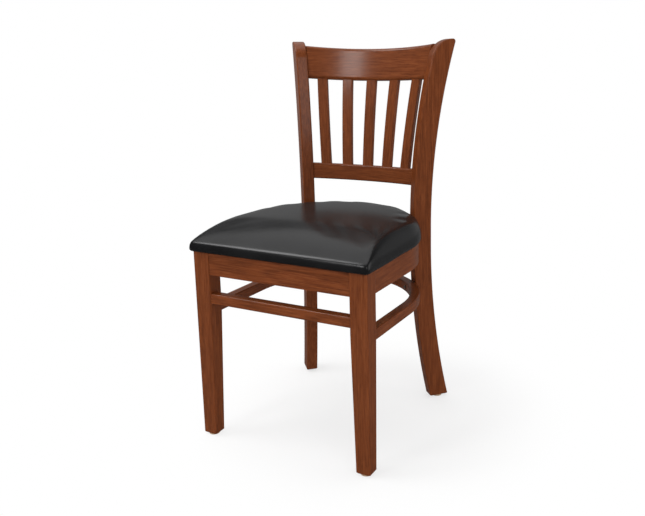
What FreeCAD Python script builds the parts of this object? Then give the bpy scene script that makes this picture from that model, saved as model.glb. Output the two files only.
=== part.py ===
import FreeCAD, Part
import math
import os

# Restaurant side chair. Millimetres, X to the sitter's left-to-right, Y to the back, Z up.
# Everything is drawn with y = 0 on the front face of the front legs, and moved at the end
# so that the origin is on the floor below the middle of the whole chair.
Vector = FreeCAD.Vector

# Overall
chair_height = 876.0
glide_height = 4.5

# Front legs
leg_outer_half_width = 212.5
leg_width = 40.5
leg_depth = 37.0
leg_foot_width = 33.0
leg_foot_depth = 30.0
leg_taper_start = 300.0
leg_edge_radius = 3.0
leg_foot_chamfer = 2.0

# Seat frame
seat_frame_top = 427.5
seat_rail_height = 50.0
seat_rail_thickness = 22.0
rail_setback = 2.0
hoop_centre_y = 202.0
hoop_leg_inset = 3.1
hoop_thickness = 23.0
hoop_edge_radius = 3.0

# Stretchers
front_stretcher_top = 336.0
front_stretcher_height = 23.0
front_stretcher_thickness = 22.0
stretcher_edge_radius = 4.0
stretcher_hoop_top = 304.0
stretcher_hoop_height = 23.0
stretcher_hoop_centre_y = 208.0

# Back posts: planks that stand on a radius of the hoop
post_toe_in = 43.1
post_thickness = 28.5
post_hoop_bite = 0.7
post_waist_depth = 44.5
post_waist_low = 400.0
post_waist_high = 440.0
post_foot_sweep = 43.0
post_foot_depth = 47.0
post_top_sweep = 57.0
post_top_depth = 50.0
post_top_front_radius = 51.0
post_top_rear_radius = 6.0
post_edge_radius = 3.0
post_foot_chamfer = 2.0

# Back rails and slats
crest_setback = 4.5
crest_drop = 95.0
crest_height = 80.0
crest_thickness = 22.0
crest_bend_radius = 450.0
crest_rake = 11.2
crest_scoop = 2.6
crest_scoop_share = 0.82
crest_edge_radius = 7.0
lower_rail_setback = 2.0
lower_rail_low_z = 534.5
lower_rail_height = 39.0
lower_rail_thickness = 21.0
lower_rail_bend_radius = 400.0
lower_rail_rake = 5.0
lower_rail_edge_radius = 4.0
slat_count = 5
slat_width = 26.0
slat_thickness = 12.0
slat_spread_low = 0.407
slat_spread_high = 0.410
slat_tenon = 14.0
slat_bow = 3.0
slat_edge_radius = 2.5
mortise_end_gap = 0.5

# Seat cushion
seat_front_overhang = 9.0
seat_side_overhang = 5.6
seat_front_flare = 5.0
seat_corner_radius = 7.0
seat_crown = 62.0
seat_draw_in = 4.0
seat_roll_inset = 3.0
seat_crown_reach = 112.0
seat_front_slope = 1.7
seat_roll_share = 0.44
cover_thickness = 1.2
cover_flange_beyond_staples = 7.0
board_thickness = 12.0
board_inset = 4.0
post_seat_gap = 0.5
dust_cover_thickness = 0.8
dust_cover_gap = 0.4

# Blocks, dowels and fasteners
block_height = 28.0
corner_block_reach_x = 78.0
corner_block_reach_y = 62.0
side_screw_share = 0.72
rear_block_width = 70.0
rear_block_depth = 30.0
rear_block_angle = 16.0
dowel_diameter = 10.0
dowel_depth = 18.0
small_dowel_diameter = 8.0
post_dowel_depth = 12.0
seat_rail_dowel_spacing = 25.0
crest_dowel_spacing = 36.0
lower_rail_dowel_spacing = 16.0
bolt_diameter = 6.0
bolt_head_diameter = 11.0
bolt_head_height = 4.0
bolt_spacing = 22.0
bolt_reach = 14.0
washer_diameter = 16.0
washer_thickness = 1.2
insert_diameter = 10.0
insert_length = 13.0
spot_face_depth = 1.0
spot_face_margin = 1.0
spot_face_run = 20.0
screw_diameter = 4.5
screw_head_diameter = 8.5
screw_head_height = 3.0
screw_reach = 15.0
screw_block_grip = 12.0
seat_screw_board_bite = 9.0
seat_screw_inset_x = 12.0
seat_screw_inset_y = 10.0
staple_count = 22
staple_width = 10.0
staple_wire = 1.2
staple_reach = 7.0
staple_frame_gap = 6.4
staple_clearance = 1.0
glide_diameter = 24.0
glide_edge_radius = 1.5
nail_diameter = 2.6
nail_head_diameter = 7.0
nail_head_height = 1.0
nail_head_recess = 0.8
nail_reach = 17.0

seat_rail_low = seat_frame_top - seat_rail_height
seat_rail_mid_z = seat_frame_top - seat_rail_height / 2
stretcher_hoop_low = stretcher_hoop_top - stretcher_hoop_height
stretcher_hoop_mid_z = stretcher_hoop_top - stretcher_hoop_height / 2
front_stretcher_mid_z = front_stretcher_top - front_stretcher_height / 2
hoop_outer_radius = leg_outer_half_width - hoop_leg_inset
hoop_inner_radius = hoop_outer_radius - hoop_thickness
post_waist_radius = hoop_outer_radius - post_hoop_bite
seat_half_width = hoop_outer_radius + seat_side_overhang
staple_inset = seat_side_overhang + hoop_thickness + staple_frame_gap
cover_flange_width = staple_inset + cover_flange_beyond_staples
crest_low_z = chair_height - crest_drop
hoop_mid_x = hoop_outer_radius - hoop_thickness / 2
leg_inner_x = leg_outer_half_width - leg_width
post_toe = math.radians(post_toe_in)
pieces = {}


def mirrored(shape):
    return shape.mirror(Vector(0, 0, 0), Vector(1, 0, 0))


def rod(diameter, start, direction, length):
    return Part.makeCylinder(diameter / 2, length, start, direction)


def both_sides(shapes):
    return shapes + [mirrored(shape) for shape in shapes]


def drilled(shape, tools):
    return shape.cut(Part.Compound(tools))


def rounded_rectangle(x0, x1, y0, y1, z, radius):
    """Closed wire of a rectangle with round corners, at one height."""
    k = radius * (1 - math.sqrt(0.5))
    corners = [(x1, y0, -1, 1), (x1, y1, -1, -1), (x0, y1, 1, -1), (x0, y0, 1, 1)]
    edges = []
    last = Vector(x0 + radius, y0, z)
    first = last
    for number, (x, y, sx, sy) in enumerate(corners):
        along_x = Vector(x + sx * radius, y, z)
        along_y = Vector(x, y + sy * radius, z)
        start, end = (along_x, along_y) if number % 2 == 0 else (along_y, along_x)
        middle = Vector(x + sx * k, y + sy * k, z)
        edges.append(Part.makeLine(last, start))
        edges.append(Part.Arc(start, middle, end).toShape())
        last = end
    if (last - first).Length > 1e-6:
        edges.append(Part.makeLine(last, first))
    return Part.Wire(edges)


def long_edges(solid, least_length):
    return [edge for edge in solid.Edges if edge.Length > least_length]


# Front legs: straight outside and in front, tapered inside and at the rear
def leg_section(z, width, depth, inset):
    return rounded_rectangle(
        leg_outer_half_width - width + inset, leg_outer_half_width - inset,
        inset, depth - inset, z, leg_edge_radius)


leg_low = Part.makeLoft(
    [leg_section(glide_height, leg_foot_width, leg_foot_depth, leg_foot_chamfer),
     leg_section(glide_height + leg_foot_chamfer, leg_foot_width, leg_foot_depth, 0.0)], True, True)
leg_taper = Part.makeLoft(
    [leg_section(glide_height + leg_foot_chamfer, leg_foot_width, leg_foot_depth, 0.0),
     leg_section(leg_taper_start, leg_width, leg_depth, 0.0)], True, True)
leg_high = Part.Face(leg_section(leg_taper_start, leg_width, leg_depth, 0.0)).extrude(
    Vector(0, 0, seat_frame_top - leg_taper_start))
leg = leg_low.fuse([leg_taper, leg_high]).removeSplitter()
leg_foot_centre = Vector(leg_outer_half_width - leg_foot_width / 2, leg_foot_depth / 2, 0)


# Back posts: drawn flat in (radius, height), then stood on their radius of the hoop
def post_point(radius, z, across=0.0):
    x = radius * math.sin(post_toe) + across * math.cos(post_toe)
    y = hoop_centre_y + radius * math.cos(post_toe) - across * math.sin(post_toe)
    return Vector(x, y, z)


def sweep_curve(waist_radius, foot_radius, top_radius):
    """Front or rear edge of a post: two parabolas with a straight waist between them."""
    low_mid = (glide_height + post_waist_low) / 2
    high_mid = (chair_height + post_waist_high) / 2
    low = Part.BezierCurve()
    low.setPoles([Vector(foot_radius, 0, glide_height), Vector(waist_radius, 0, low_mid),
                  Vector(waist_radius, 0, post_waist_low)])
    high = Part.BezierCurve()
    high.setPoles([Vector(waist_radius, 0, post_waist_high), Vector(waist_radius, 0, high_mid),
                   Vector(top_radius, 0, chair_height)])
    waist = Part.makeLine(Vector(waist_radius, 0, post_waist_low), Vector(waist_radius, 0, post_waist_high))
    return [low.toShape(), waist, high.toShape()]


def front_radius_at(z):
    """Distance of the post's front edge from the hoop's axis."""
    if z < post_waist_low:
        share = (post_waist_low - z) / (post_waist_low - glide_height)
        return post_waist_radius + post_foot_sweep * share ** 2
    share = max(0.0, z - post_waist_high) / (chair_height - post_waist_high)
    return post_waist_radius + post_top_sweep * share ** 2


foot_front = post_waist_radius + post_foot_sweep
foot_rear = foot_front + post_foot_depth
top_front = post_waist_radius + post_top_sweep
top_rear = top_front + post_top_depth
post_outline = Part.Wire(Part.__sortEdges__(
    sweep_curve(post_waist_radius, foot_front, top_front)
    + sweep_curve(post_waist_radius + post_waist_depth, foot_rear, top_rear)
    + [Part.makeLine(Vector(foot_front, 0, glide_height), Vector(foot_rear, 0, glide_height)),
       Part.makeLine(Vector(top_front, 0, chair_height), Vector(top_rear, 0, chair_height))]))
post_flat = Part.Face(post_outline).extrude(Vector(0, post_thickness, 0))
post_flat.translate(Vector(0, -post_thickness / 2, 0))


def top_edge_at(solid, radius):
    """The edge across the plank's top at one distance from the hoop's axis."""
    wanted = Vector(radius, 0, chair_height)
    return min(solid.Edges, key=lambda edge: (edge.CenterOfMass - wanted).Length)


post_flat = post_flat.makeFillet(post_top_front_radius, [top_edge_at(post_flat, top_front)])
post_flat = post_flat.makeFillet(post_top_rear_radius, [top_edge_at(post_flat, top_rear)])
rim_edges = [edge for edge in post_flat.Edges
             if abs(abs(edge.CenterOfMass.y) - post_thickness / 2) < 0.01
             and edge.CenterOfMass.z > glide_height + 1]
post_flat = post_flat.makeFillet(post_edge_radius, rim_edges)
foot_edges = [edge for edge in post_flat.Edges
              if edge.BoundBox.ZMax < glide_height + 0.01]
post_flat = post_flat.makeChamfer(post_foot_chamfer, foot_edges)
post_flat.rotate(Vector(0, 0, 0), Vector(0, 0, 1), 90 - post_toe_in)
post = post_flat
post.translate(Vector(0, hoop_centre_y, 0))
post_foot_centre = post_point((foot_front + foot_rear) / 2, 0)


# Seat hoop and stretcher hoop: bent U shapes that end on the rear faces of the legs
def hoop_wire(radius, centre_y, z, end_y):
    left = Vector(-radius, centre_y, z)
    right = Vector(radius, centre_y, z)
    rear = Vector(0, centre_y + radius, z)
    diagonal = radius * math.sqrt(0.5)
    right_arc = Part.Arc(right, Vector(diagonal, centre_y + diagonal, z), rear).toShape()
    left_arc = Part.Arc(rear, Vector(-diagonal, centre_y + diagonal, z), left).toShape()
    return [Part.makeLine(Vector(radius, end_y, z), right), right_arc, left_arc,
            Part.makeLine(left, Vector(-radius, end_y, z))]


def hoop(centre_y, low, height, end_y):
    outer = hoop_wire(hoop_outer_radius, centre_y, low, end_y)
    inner = hoop_wire(hoop_inner_radius, centre_y, low, end_y)
    ends = [Part.makeLine(Vector(side * hoop_inner_radius, end_y, low), Vector(side * hoop_outer_radius, end_y, low))
            for side in (-1, 1)]
    ring = Part.Face(Part.Wire(Part.__sortEdges__(outer + inner + ends))).extrude(Vector(0, 0, height))
    rims = [edge for edge in ring.Edges if abs(edge.tangentAt(edge.FirstParameter).z) < 0.5
            and edge.CenterOfMass.y > end_y + 1]
    return ring.makeFillet(hoop_edge_radius, rims)


hoop_end_y = leg_depth / 2
legs = [leg, mirrored(leg)]
posts = [post, mirrored(post)]
seat_hoop = hoop(hoop_centre_y, seat_rail_low, seat_rail_height, hoop_end_y).cut(legs + posts)
stretcher_hoop = hoop(stretcher_hoop_centre_y, stretcher_hoop_low, stretcher_hoop_height, hoop_end_y).cut(legs + posts)


# Front seat rail and front stretcher: straight pieces between the legs
def cross_rail(low, height, thickness, radius):
    box = Part.makeBox(2 * leg_outer_half_width, thickness, height, Vector(-leg_outer_half_width, rail_setback, low))
    rims = long_edges(box, leg_outer_half_width)
    ends = [Part.makeBox(leg_width, 4 * leg_depth, chair_height, Vector(side * leg_inner_x - leg_width * (side < 0),
                                                                       -leg_depth, 0)) for side in (-1, 1)]
    return box.makeFillet(radius, rims).cut(ends)


front_seat_rail = cross_rail(seat_rail_low, seat_rail_height, seat_rail_thickness, rail_setback)
front_stretcher = cross_rail(
    front_stretcher_top - front_stretcher_height, front_stretcher_height,
    front_stretcher_thickness, stretcher_edge_radius)
seat_rail_mid_y = rail_setback + seat_rail_thickness / 2
front_stretcher_mid_y = rail_setback + front_stretcher_thickness / 2


# Crest rail and lower back rail: bent boards, raked, cut off on the posts' inner faces
def bent_rail(front_y, low, height, thickness, bend_radius, rake, edge_radius, scoop):
    half_angle = math.asin(leg_outer_half_width / bend_radius)
    axis_y = front_y - bend_radius

    def arc(radius):
        points = [Vector(radius * math.sin(turn), axis_y + radius * math.cos(turn), low)
                  for turn in (-half_angle, 0, half_angle)]
        return points, Part.Arc(*points).toShape()

    front_points, front_arc = arc(bend_radius)
    rear_points, rear_arc = arc(bend_radius + thickness)
    sides = [Part.makeLine(front_points[index], rear_points[index]) for index in (0, 2)]
    board = Part.Face(Part.Wire(Part.__sortEdges__([front_arc, rear_arc] + sides))).extrude(Vector(0, 0, height))
    if scoop > 0:
        half_chord = leg_outer_half_width * crest_scoop_share
        scoop_radius = (half_chord ** 2 + scoop ** 2) / (2 * scoop)
        scoop_axis_z = low + height - scoop + scoop_radius
        board = board.cut(Part.makeCylinder(
            scoop_radius, 2 * bend_radius, Vector(0, axis_y, scoop_axis_z), Vector(0, 1, 0)))
    rims = [edge for edge in long_edges(board, leg_outer_half_width)
            if abs(edge.tangentAt(edge.FirstParameter).z) < 0.5]
    board = board.makeFillet(edge_radius, rims)
    board.rotate(Vector(0, front_y, low), Vector(1, 0, 0), -rake)
    return board


def beyond_post(side):
    """Everything on the outer side of one post's inner face."""
    size = 3 * chair_height
    box = Part.makeBox(size, size, size, Vector(0, -size / 2, -size / 2))
    box.rotate(Vector(0, 0, 0), Vector(0, 0, 1), -post_toe_in)
    box.translate(post_point(0, 0, -post_thickness / 2))
    return box if side > 0 else mirrored(box)


def rail_end(z, setback):
    """Front corner of a bent rail on a post's inner face, a setback behind the post's front edge."""
    return post_point(front_radius_at(z) + setback, z, -post_thickness / 2)


def rail_front_y(end, bend_radius):
    """Front of a bent rail in its middle."""
    return end.y + bend_radius - math.sqrt(bend_radius ** 2 - end.x ** 2)


beyond_posts = [beyond_post(side) for side in (-1, 1)]
crest_end = rail_end(crest_low_z, crest_setback)
lower_rail_end = rail_end(lower_rail_low_z, lower_rail_setback)
crest_low_front_y = rail_front_y(crest_end, crest_bend_radius)
lower_rail_low_front_y = rail_front_y(lower_rail_end, lower_rail_bend_radius)
slat_pitch_low = lower_rail_end.x * slat_spread_low
slat_pitch_high = crest_end.x * slat_spread_high
crest_rail = bent_rail(crest_low_front_y, crest_low_z, crest_height, crest_thickness, crest_bend_radius,
                       crest_rake, crest_edge_radius, crest_scoop).cut(beyond_posts)
lower_back_rail = bent_rail(lower_rail_low_front_y, lower_rail_low_z, lower_rail_height, lower_rail_thickness,
                            lower_rail_bend_radius, lower_rail_rake, lower_rail_edge_radius, 0.0).cut(beyond_posts)


# Back slats: thin bowed strips, fanned, with both ends in mortises of the rails
def rail_point(front_y, low, thickness, bend_radius, rake, across, height):
    """Point in the middle of a bent rail's thickness, at a height measured along the rake."""
    depth = thickness / 2 - (bend_radius - math.sqrt(bend_radius ** 2 - across ** 2))
    rake_angle = math.radians(rake)
    y = front_y + depth * math.cos(rake_angle) + height * math.sin(rake_angle)
    z = low - depth * math.sin(rake_angle) + height * math.cos(rake_angle)
    return Vector(across, y, z)


def slat(number, end_gap):
    place = number - (slat_count - 1) / 2
    low = rail_point(lower_rail_low_front_y, lower_rail_low_z, lower_rail_thickness, lower_rail_bend_radius,
                     lower_rail_rake, place * slat_pitch_low, lower_rail_height)
    high = rail_point(crest_low_front_y, crest_low_z, crest_thickness, crest_bend_radius,
                      crest_rake, place * slat_pitch_high, 0.0)
    along = (high - low).normalize()
    length = (high - low).Length + 2 * (slat_tenon + end_gap)
    half = slat_thickness / 2

    def bow(offset):
        points = [Vector(0, offset, 0), Vector(0, offset - slat_bow, length / 2), Vector(0, offset, length)]
        return points, Part.Arc(*points).toShape()

    front_points, front_arc = bow(-half)
    rear_points, rear_arc = bow(half)
    ends = [Part.makeLine(front_points[index], rear_points[index]) for index in (0, 2)]
    strip = Part.Face(Part.Wire(Part.__sortEdges__([front_arc, rear_arc] + ends))).extrude(Vector(slat_width, 0, 0))
    strip.translate(Vector(-slat_width / 2, 0, 0))
    strip = strip.makeFillet(slat_edge_radius, long_edges(strip, length / 2))
    turn = math.asin(place * slat_pitch_high / crest_bend_radius)
    across = Vector(math.cos(turn), -math.sin(turn), 0)
    behind = along.cross(across).normalize()
    across = behind.cross(along)
    start = low - along * (slat_tenon + end_gap)
    strip.Placement = FreeCAD.Placement(FreeCAD.Matrix(
        across.x, behind.x, along.x, start.x,
        across.y, behind.y, along.y, start.y,
        across.z, behind.z, along.z, start.z,
        0, 0, 0, 1))
    return strip


slats = [slat(number, 0.0) for number in range(slat_count)]
mortises = [slat(number, mortise_end_gap) for number in range(slat_count)]
crest_rail = drilled(crest_rail, mortises)
lower_back_rail = drilled(lower_back_rail, mortises)


# Blocks glued inside the seat frame, flush with its top, to carry the seat
block_low = seat_frame_top - block_height
seat_rail_rear_y = rail_setback + seat_rail_thickness
block_corner_y = leg_depth + corner_block_reach_y
corner_outline = [(leg_inner_x - corner_block_reach_x, seat_rail_rear_y), (leg_inner_x, seat_rail_rear_y),
                  (leg_inner_x, leg_depth), (hoop_inner_radius, leg_depth), (hoop_inner_radius, block_corner_y),
                  (hoop_inner_radius - screw_block_grip, block_corner_y),
                  (leg_inner_x - corner_block_reach_x, seat_rail_rear_y + screw_block_grip)]
corner_points = [Vector(x, y, block_low) for x, y in corner_outline]
corner_block = Part.Face(Part.makePolygon(corner_points + corner_points[:1])).extrude(Vector(0, 0, block_height))
corner_block = corner_block.cut(leg)

rear_block = Part.makeBox(rear_block_width, rear_block_depth, block_height,
                          Vector(-rear_block_width / 2, hoop_inner_radius - rear_block_depth, block_low))
rear_block.rotate(Vector(0, 0, 0), Vector(0, 0, 1), -rear_block_angle)
rear_block.translate(Vector(0, hoop_centre_y, 0))
hoop_core = Part.makeCylinder(hoop_inner_radius, block_height, Vector(0, hoop_centre_y, block_low))
rear_block = rear_block.common(hoop_core)


# Dowels: one rod each, half in either piece
def dowel(diameter, face_point, direction, depth):
    return rod(diameter, face_point - direction * depth, direction, 2 * depth)


to_right, to_rear = Vector(1, 0, 0), Vector(0, 1, 0)
across_post = Vector(math.cos(post_toe), -math.sin(post_toe), 0)
seat_dowel_heights = [seat_rail_mid_z + side * seat_rail_dowel_spacing / 2 for side in (-1, 1)]
front_rail_dowels = both_sides([
    dowel(dowel_diameter, Vector(leg_inner_x, seat_rail_mid_y, z), to_right, dowel_depth) for z in seat_dowel_heights])
seat_hoop_dowels = both_sides([
    dowel(dowel_diameter, Vector(hoop_mid_x, leg_depth, z), to_rear, dowel_depth) for z in seat_dowel_heights])
stretcher_dowels = both_sides([
    dowel(dowel_diameter, Vector(leg_inner_x, front_stretcher_mid_y, front_stretcher_mid_z), to_right, dowel_depth)])
stretcher_hoop_dowels = both_sides([
    dowel(dowel_diameter, Vector(hoop_mid_x, leg_depth, stretcher_hoop_mid_z), to_rear, dowel_depth)])


def post_dowels(z, spacing, thickness, setback):
    """Pair of dowels through a post's inner face into the end of a back rail."""
    pair = []
    for height in (z - spacing / 2, z + spacing / 2):
        radius = front_radius_at(height) + setback + thickness / 2
        pair.append(dowel(small_dowel_diameter, post_point(radius, height, -post_thickness / 2),
                          across_post, post_dowel_depth))
    return both_sides(pair)


crest_mid_z = rail_point(crest_low_front_y, crest_low_z, crest_thickness, crest_bend_radius,
                         crest_rake, crest_end.x, crest_height / 2).z
lower_rail_mid_z = rail_point(lower_rail_low_front_y, lower_rail_low_z, lower_rail_thickness, lower_rail_bend_radius,
                              lower_rail_rake, lower_rail_end.x, lower_rail_height / 2).z
crest_rail_dowels = post_dowels(crest_mid_z, crest_dowel_spacing, crest_thickness, crest_setback)
lower_rail_dowels = post_dowels(
    lower_rail_mid_z, lower_rail_dowel_spacing, lower_rail_thickness, lower_rail_setback)

# Post bolts with washers and threaded inserts, from inside the seat hoop into the posts
out_along_post = Vector(math.sin(post_toe), math.cos(post_toe), 0)
bolt_heights = [seat_rail_mid_z + side * bolt_spacing / 2 for side in (-1, 1)]
spot_radius = hoop_inner_radius + spot_face_depth
bolts, washers, inserts, spot_faces = [], [], [], []
for z in bolt_heights:
    washer_start = post_point(spot_radius - washer_thickness, z)
    head_start = post_point(spot_radius - washer_thickness - bolt_head_height, z)
    insert_start = post_point(post_waist_radius, z)
    shank_length = post_waist_radius + bolt_reach - spot_radius + washer_thickness
    shank = rod(bolt_diameter, washer_start, out_along_post, shank_length)
    bolts.append(rod(bolt_head_diameter, head_start, out_along_post, bolt_head_height).fuse(shank))
    washers.append(rod(washer_diameter, washer_start, out_along_post, washer_thickness).cut(shank))
    inserts.append(rod(insert_diameter, insert_start, out_along_post, insert_length).cut(shank))
    spot_faces.append(rod(washer_diameter + 2 * spot_face_margin, post_point(spot_radius - spot_face_run, z),
                          out_along_post, spot_face_run))
post_bolts, post_bolt_washers = both_sides(bolts), both_sides(washers)
post_inserts, spot_faces = both_sides(inserts), both_sides(spot_faces)


# Wood screws with a round head, whose head sits on a flat face or in a counterbore
def wood_screw(seat_point, direction, length):
    head = rod(screw_head_diameter, seat_point - direction * screw_head_height, direction, screw_head_height)
    return head.fuse(rod(screw_diameter, seat_point, direction, length))


def counterbore(seat_point, direction, depth):
    return rod(screw_head_diameter + spot_face_margin, seat_point - direction * depth, direction, depth)


stretcher_seat = stretcher_hoop_centre_y - hoop_centre_y
stretcher_screw_radius = hoop_inner_radius + stretcher_seat * math.cos(post_toe) + spot_face_depth
stretcher_screw_point = post_point(stretcher_screw_radius, stretcher_hoop_mid_z)
stretcher_screws = both_sides([wood_screw(stretcher_screw_point, out_along_post, hoop_thickness + screw_reach)])
stretcher_spots = both_sides([counterbore(stretcher_screw_point, out_along_post, spot_face_run)])

block_mid_z = block_low + block_height / 2
apron_screw_point = Vector(leg_inner_x - corner_block_reach_x / 2, seat_rail_rear_y + screw_block_grip, block_mid_z)
hoop_screw_point = Vector(hoop_inner_radius - screw_block_grip, leg_depth + corner_block_reach_y * side_screw_share, block_mid_z)
corner_screws = both_sides([wood_screw(apron_screw_point, -to_rear, screw_block_grip + screw_reach),
                            wood_screw(hoop_screw_point, to_right, screw_block_grip + screw_reach)])
corner_bores = both_sides([counterbore(apron_screw_point, -to_rear, corner_block_reach_y),
                           counterbore(hoop_screw_point, to_right, corner_block_reach_x)])

up = Vector(0, 0, 1)
seat_bottom = seat_frame_top
board_bottom = seat_bottom + cover_thickness
rear_block_turn = math.radians(rear_block_angle)
rear_screw_radius = hoop_inner_radius - rear_block_depth / 2
seat_screw_length = block_height + cover_thickness + seat_screw_board_bite
seat_screws = both_sides([
    wood_screw(Vector(leg_inner_x - seat_screw_inset_x, leg_depth + seat_screw_inset_y, block_low), up, seat_screw_length),
    wood_screw(Vector(rear_screw_radius * math.sin(rear_block_turn),
                      hoop_centre_y + rear_screw_radius * math.cos(rear_block_turn), block_low), up,
               seat_screw_length)])


# Seat: a D outline at any inset, lofted upwards into a crowned cushion
def seat_outline(inset, z, front_slope=1.0):
    """D outline of the seat: straight front, sides that flare forward, round front corners, half-round back."""
    half_width = seat_half_width - inset
    front_half_width = half_width + seat_front_flare
    front_y = -seat_front_overhang + inset * front_slope
    corner = seat_corner_radius
    k = corner * (1 - math.sqrt(0.5))
    diagonal = half_width * math.sqrt(0.5)
    right = Vector(half_width, hoop_centre_y, z)
    left = Vector(-half_width, hoop_centre_y, z)
    rear = Vector(0, hoop_centre_y + half_width, z)
    front_right = Vector(front_half_width - corner, front_y, z)
    front_left = Vector(-front_half_width + corner, front_y, z)
    side_right = Vector(front_half_width, front_y + corner, z)
    side_left = Vector(-front_half_width, front_y + corner, z)
    return Part.Wire([
        Part.makeLine(front_left, front_right),
        Part.Arc(front_right, Vector(front_half_width - k, front_y + k, z), side_right).toShape(),
        Part.makeLine(side_right, right),
        Part.Arc(right, Vector(diagonal, hoop_centre_y + diagonal, z), rear).toShape(),
        Part.Arc(rear, Vector(-diagonal, hoop_centre_y + diagonal, z), left).toShape(),
        Part.makeLine(left, side_left),
        Part.Arc(side_left, Vector(-front_half_width + k, front_y + k, z), front_left).toShape()])


def cushion(shell):
    """Crowned cushion, drawn in at its lower edge; shell is how far inside the cover's outside it lies."""
    top = seat_bottom + seat_crown - shell
    base = seat_bottom + shell
    rise = top - base
    rim = [(seat_draw_in, 0.0), (seat_draw_in * 0.2, 0.12), (0.0, 0.24), (seat_roll_inset * 0.3, 0.36)]
    wires = [seat_outline(inset + shell, base + share * rise) for inset, share in rim]
    for step in range(6):
        part = step / 5
        inset = seat_roll_inset + (seat_crown_reach - seat_roll_inset) * part ** 2
        share = seat_roll_share + (1 - seat_roll_share) * (1 - (1 - part) ** 2)
        front_slope = 1 + (seat_front_slope - 1) * min(1.0, 2 * part)
        wires.append(seat_outline(inset + shell, base + share * rise, front_slope))
    return Part.makeLoft(wires, True, True)


seat_outside = cushion(0.0)
seat_inside = cushion(cover_thickness)
post_clear = Part.makeBox(post_thickness + 2 * post_seat_gap, 4 * post_waist_depth, chair_height,
                          Vector(-post_thickness / 2 - post_seat_gap, post_waist_radius - post_seat_gap, 0))
post_clear.rotate(Vector(0, 0, 0), Vector(0, 0, 1), -post_toe_in)
post_clear.translate(Vector(0, hoop_centre_y, 0))
post_room = both_sides([post_clear])
inner_clear = post_clear.copy()
inner_clear.translate(-out_along_post * cover_thickness)
inner_room = both_sides([inner_clear])
seat_outside = seat_outside.cut(post_room)
seat_inside = seat_inside.cut(inner_room)
flange_hole = Part.Face(seat_outline(cover_flange_width, 0)).extrude(Vector(0, 0, seat_bottom + 2 * cover_thickness))
seat_cover = seat_outside.cut([seat_inside, flange_hole])
board_blank = Part.Face(seat_outline(board_inset + cover_thickness, board_bottom)).extrude(up * board_thickness)
seat_board = board_blank.cut(inner_room).common(seat_inside)
seat_foam = seat_inside.cut(seat_board)
dust_outline = Part.Face(seat_outline(cover_flange_width + dust_cover_gap, board_bottom - dust_cover_thickness))
dust_cover = dust_outline.extrude(up * dust_cover_thickness)


# Staples that hold the cover's flange under the board, along the inside of the frame
def staple(point, along):
    legs_apart = staple_width / 2 - staple_wire / 2
    crown = Part.makeBox(staple_width, staple_wire, staple_wire, Vector(-staple_width / 2, -staple_wire / 2, -staple_wire))
    prongs = [Part.makeBox(staple_wire, staple_wire, staple_reach,
                           Vector(side * legs_apart - staple_wire / 2, -staple_wire / 2, 0)) for side in (-1, 1)]
    shape = crown.fuse(prongs)
    shape.rotate(Vector(0, 0, 0), up, math.degrees(math.atan2(along.y, along.x)))
    shape.translate(point)
    return shape


staple_wire_path = seat_outline(staple_inset, seat_bottom)
staple_path = staple_wire_path.discretize(Number=2 * staple_count + 1)
blocks = [corner_block, mirrored(corner_block), rear_block, mirrored(rear_block)]
frame_below = Part.Compound(blocks + legs + [front_seat_rail])
seat_staples = []
for index in range(1, 2 * staple_count, 2):
    tangent = staple_path[index + 1] - staple_path[index - 1]
    one = staple(staple_path[index], tangent)
    if one.distToShape(frame_below)[0] > staple_clearance:
        seat_staples.append(one)


# Floor glides and their nails
def glide(centre):
    disc = rod(glide_diameter, Vector(centre.x, centre.y, 0), up, glide_height)
    lower_rim = [edge for edge in disc.Edges if edge.CenterOfMass.z < 0.01 and edge.Length > glide_diameter]
    disc = disc.makeFillet(glide_edge_radius, lower_rim)
    recess = rod(nail_head_diameter, Vector(centre.x, centre.y, 0), up, nail_head_recess)
    return disc.cut([recess, nail(centre)])


def nail(centre):
    head = rod(nail_head_diameter, Vector(centre.x, centre.y, nail_head_recess), up, nail_head_height)
    shank = rod(nail_diameter, Vector(centre.x, centre.y, nail_head_recess), up, glide_height + nail_reach)
    return head.fuse(shank)


foot_centres = {"front_right": leg_foot_centre, "rear_right": post_foot_centre}
glide_nails = both_sides([nail(centre) for centre in foot_centres.values()])

# Holes that the dowels and fasteners need, then every piece under its name
leg = drilled(leg, front_rail_dowels + seat_hoop_dowels + stretcher_dowels + stretcher_hoop_dowels + glide_nails)
post = drilled(post, crest_rail_dowels + lower_rail_dowels + post_inserts + post_bolts + stretcher_screws + glide_nails)
front_seat_rail = drilled(front_seat_rail, front_rail_dowels + corner_screws)
seat_hoop = drilled(seat_hoop, seat_hoop_dowels + spot_faces + post_bolts + corner_screws)
front_stretcher = drilled(front_stretcher, stretcher_dowels)
stretcher_hoop = drilled(stretcher_hoop, stretcher_hoop_dowels + stretcher_spots + stretcher_screws)
crest_rail = drilled(crest_rail, crest_rail_dowels)
lower_back_rail = drilled(lower_back_rail, lower_rail_dowels)
corner_block = drilled(corner_block, corner_bores + corner_screws + seat_screws)
rear_block = drilled(rear_block, seat_screws)
seat_cover = drilled(seat_cover, seat_screws + seat_staples)
seat_board = drilled(seat_board, seat_screws + seat_staples)
dust_cover = drilled(dust_cover, seat_screws)

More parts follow.
